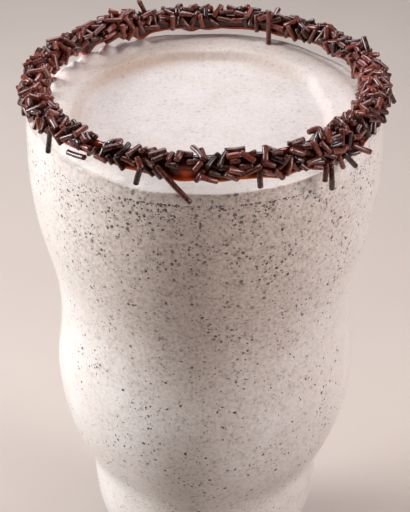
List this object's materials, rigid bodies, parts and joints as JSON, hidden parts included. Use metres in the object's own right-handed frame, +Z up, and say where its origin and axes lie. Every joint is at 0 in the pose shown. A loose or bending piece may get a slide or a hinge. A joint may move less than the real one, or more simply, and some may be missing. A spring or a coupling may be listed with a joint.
{
  "type": "milkshake in a tall tiered glass",
  "caption": "Thick speckled milkshake in a tall three-tiered clear glass, its rim coated in caramel and rolled in chocolate strands.",
  "frame": {"origin": "middle of the glass's base, on the table", "axes": "+Z up along the glass's axis; -Y is the side nearest the drinker, +X to the right seen from there"},
  "size_m": [0.0909, 0.0908, 0.1512],
  "materials": {
    "clear_glass": "clear pressed soda-lime glass, smooth",
    "milkshake": "thick off-white milkshake with fine dark cookie specks, soft sheen (matte plastic stands in for drink)",
    "caramel": "dark amber caramel sauce, wet gloss (gloss plastic stands in for sauce)",
    "chocolate": "dark brown chocolate strands, soft waxy sheen (matte plastic stands in for chocolate)"
  },
  "bodies": {
    "root": {"glass": "clear_glass", "milkshake": "milkshake", "caramel": "caramel", "strands": "chocolate"}
  },
  "joints": []
}
